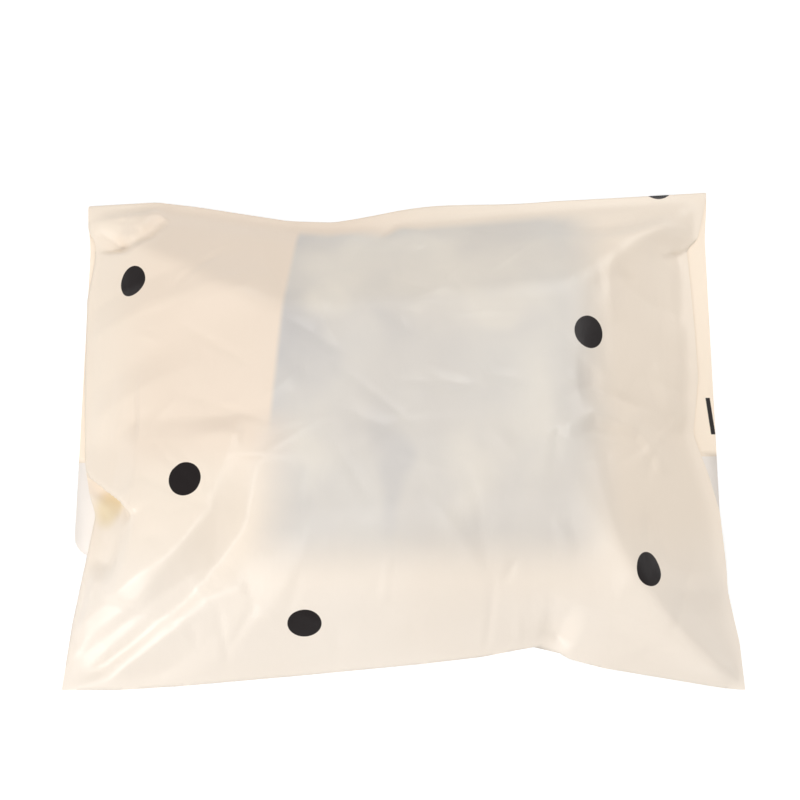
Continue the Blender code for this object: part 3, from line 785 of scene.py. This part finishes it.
def printed_film():
    """The outer, printed side: cream, dots, and the pack's grey showing through, with painted light towards
    the bottom and painted shade on the left flank and in the pocket under the pinch's lip.
    """
    nodes = Nodes("printed_film")
    x, y, z = nodes.axes()
    # Painted light: paler towards the bottom
    cream = nodes.mix(nodes.ramp(y, *PAINTED_LIGHT_Y), linear(CREAM), linear(PAINTED_LIGHT_CREAM))
    # Painted shade: deeper over the left flank
    empty = nodes.product(nodes.ramp(y, *PAINTED_SHADE_Y), nodes.ramp(x, *PAINTED_SHADE_LEFT_X), nodes.ramp(x, *PAINTED_SHADE_RIGHT_X))
    cream = nodes.mix(empty, cream, linear(PAINTED_SHADE_CREAM))
    # Painted shade in the pocket under the pinch's lip
    pocket = nodes.ramp(nodes.distance(POCKET), *POCKET_SHADE_REACH)
    cream = nodes.mix(pocket, cream, linear(POCKET_SHADE_CREAM))
    film_texture(nodes, show_through(nodes, x, y, z, cream), PRINTED_ROUGHNESS)
    ink = 0.0
    for dot_x, dot_y in DOTS:
        centre = surface_point(dot_x * MM, dot_y * MM)
        spot = nodes.ramp(nodes.distance(centre), DOT_RADIUS + PRINT_BLUR, DOT_RADIUS - PRINT_BLUR)
        ink = nodes.math("MAXIMUM", ink, spot)
    nodes.print_over(ink)
    return nodes.material


def plain_film(name, colour):
    nodes = Nodes(name)
    film_texture(nodes, linear(colour), PLAIN_ROUGHNESS)
    return nodes.material


def back_film():
    """Back of the bag; its tail carries one plain black bar near the right edge."""
    nodes = Nodes("back_film")
    x, y, z = nodes.axes()
    film_texture(nodes, linear(BACK_CREAM), PLAIN_ROUGHNESS)
    lean = nodes.product(nodes.math("SUBTRACT", y, BAR_LEAN_FROM), BAR_LEAN)
    bar = nodes.ramp(z, *BAR_HEIGHT)
    for place, (low, high) in ((nodes.total(x, lean), BAR_X), (y, BAR_Y)):
        from_low = nodes.ramp(place, low, low + BAR_BLUR)
        to_high = nodes.ramp(place, high, high - BAR_BLUR)
        bar = nodes.product(bar, from_low, to_high)
    nodes.print_over(bar)
    return nodes.material


def make_film():
    """The whole film of the bag as one thin sheet, folded, with its true layers."""
    sheet = Sheet()
    front = panel_rows(sheet, FRONT_COLUMNS, front_place, front_height, outer_nose, Z_TAIL_FRONT)
    back = panel_rows(sheet, PLAIN_COLUMNS, plan, lambda a, b: back_height(plan(a, b)[1]), inner_nose,
                      Z_TAIL_BACK)
    for slot, rows in ((0, front), (1, back)):
        for lower, upper in zip(rows, rows[1:]):
            sheet.join(lower, upper, slot)
    for side in (0, -1):
        sheet.join([row[side] for row in front], [row[side] for row in back], 0)
    sheet.join(front[0], back[0], 0)
    flap = back[-1]
    across = np.linspace(0, 1, PLAIN_COLUMNS + 1)
    straight = 1 - FLAP_CORNER / FLAP_LENGTH
    bends = [1 - (1 - straight) * (1 - math.sin(math.radians(angle))) for angle in range(10, 91, 10)]
    for share in [*np.linspace(0, straight, FLAP_ROWS)[1:], *bends]:
        x, y = flap_plan(across, np.full_like(across, share))
        row = sheet.row(x, y, np.full_like(across, Z_TAIL_BACK))
        sheet.join(flap, row, 2)
        flap = row
    mesh = bpy.data.meshes.new("mailer_film")
    mesh.from_pydata(sheet.points, [], sheet.faces)
    for material in (printed_film(), back_film(), plain_film("flap_film", FLAP_CREAM)):
        mesh.materials.append(material)
    mesh.polygons.foreach_set("material_index", sheet.slots)
    mesh.shade_smooth()
    bag = bpy.data.objects.new("mailer_film", mesh)
    bpy.context.scene.collection.objects.link(bag)
    bpy.context.view_layer.objects.active = bag
    bag.select_set(True)
    bpy.ops.object.mode_set(mode="EDIT")
    bpy.ops.mesh.select_all(action="SELECT")
    bpy.ops.mesh.normals_make_consistent(inside=False)
    bpy.ops.object.mode_set(mode="OBJECT")
    mesh.set_sharp_from_angle(angle=math.radians(SHARP_ANGLE))
    wall = bag.modifiers.new("film", "SOLIDIFY")
    wall.thickness = FILM
    wall.offset = 0
    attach(bag, "root")
    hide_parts("film_bag")


def dress_small_pieces():
    """Finish of the pieces that keep their solids: colour, roughness, and scale and depth of the grain."""
    finishes = {
        "contents": ((150, 154, 160), 0.9, 900, 0.3 * MM),
        "adhesive_strip": ((226, 216, 186), 0.25, 120, 0.2 * MM),
        "release_liner": ((240, 241, 240), 0.45, 300, 0.05 * MM),
    }
    for name, (colour, roughness, scale, depth) in finishes.items():
        nodes = Nodes(name + "_finish")
        fine = nodes.noise(scale, 3.0)
        darker = tuple(0.86 * value for value in colour)
        nodes.feed(nodes.shader.inputs["Base Color"], nodes.mix(fine, linear(colour), linear(darker)))
        nodes.shader.inputs["Roughness"].default_value = roughness
        nodes.bump(fine, depth)
        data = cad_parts[name].data
        data.materials.clear()
        data.materials.append(nodes.material)


def make_floor():
    """A white floor that keeps the shadow and reads as white to the camera."""
    mesh = bpy.data.meshes.new("floor")
    corners = [(x * FLOOR_SIZE, y * FLOOR_SIZE, 0) for x, y in ((-1, -1), (1, -1), (1, 1), (-1, 1))]
    mesh.from_pydata(corners, [], [(0, 1, 2, 3)])
    floor = bpy.data.objects.new("floor", mesh)
    floor.location.z = -FLOOR_DROP
    bpy.context.scene.collection.objects.link(floor)
    material = bpy.data.materials.new("floor")
    material.use_nodes = True
    tree = material.node_tree
    shader = tree.nodes["Principled BSDF"]
    shader.inputs["Base Color"].default_value = (FLOOR_WHITE, FLOOR_WHITE, FLOOR_WHITE, 1)
    shader.inputs["Roughness"].default_value = 0.9
    shader.inputs["Specular IOR Level"].default_value = 0.0
    glow = tree.nodes.new("ShaderNodeEmission")
    path = tree.nodes.new("ShaderNodeLightPath")
    lift = tree.nodes.new("ShaderNodeMath")
    lift.operation = "MULTIPLY"
    lift.inputs[1].default_value = FLOOR_LIFT
    tree.links.new(path.outputs["Is Camera Ray"], lift.inputs[0])
    tree.links.new(lift.outputs[0], glow.inputs["Strength"])
    both = tree.nodes.new("ShaderNodeAddShader")
    tree.links.new(shader.outputs[0], both.inputs[0])
    tree.links.new(glow.outputs[0], both.inputs[1])
    tree.links.new(both.outputs[0], tree.nodes["Material Output"].inputs["Surface"])
    mesh.materials.append(material)


def make_light():
    """Plain soft studio light: one panel overhead, one from the front left and one from the back right."""
    def panel(name, place, size, power):
        data = bpy.data.lights.new(name, "AREA")
        data.shape = "RECTANGLE"
        data.size, data.size_y = size
        data.energy = power
        lamp = bpy.data.objects.new(name, data)
        lamp.location = place
        lamp.rotation_mode = "QUATERNION"
        lamp.rotation_quaternion = (-Vector(place)).to_track_quat("-Z", "Y")
        bpy.context.scene.collection.objects.link(lamp)

    panel("key", (-0.26, -0.44, 1.36), (0.5, 1.2), 5.6)
    panel("front", (-0.98, -0.86, 0.75), (0.9, 0.6), 9.2)
    panel("back", (0.66, 0.92, 0.95), (1.5, 0.9), 8.8)
    world = bpy.data.worlds.new("studio")
    bpy.context.scene.world = world
    world.use_nodes = True
    tree = world.node_tree
    back = tree.nodes["Background"]
    path = tree.nodes.new("ShaderNodeLightPath")
    seen = tree.nodes.new("ShaderNodeMapRange")
    seen.inputs["To Min"].default_value = ROOM_LIGHT
    seen.inputs["To Max"].default_value = 1.0
    tree.links.new(path.outputs["Is Camera Ray"], seen.inputs["Value"])
    tree.links.new(seen.outputs[0], back.inputs["Strength"])
    back.inputs["Color"].default_value = (1, 1, 1, 1)


def make_camera():
    """Looking down from a little in front, as the photograph does."""
    data = bpy.data.cameras.new("camera")
    data.sensor_width = 36
    data.lens = CAMERA_LENS
    camera = bpy.data.objects.new("camera", data)
    tilt = math.radians(CAMERA_TILT)
    back = Vector((0, -math.sin(tilt), math.cos(tilt)))
    camera.location = Vector(CAMERA_TARGET) + CAMERA_DISTANCE * back
    camera.rotation_mode = "QUATERNION"
    camera.rotation_quaternion = (-back).to_track_quat("-Z", "Y")
    data.clip_start = 0.01
    bpy.context.scene.collection.objects.link(camera)
    bpy.context.scene.camera = camera


make_camera()
make_film()
dress_small_pieces()
make_floor()
make_light()
bpy.context.scene.view_settings.view_transform = "Standard"
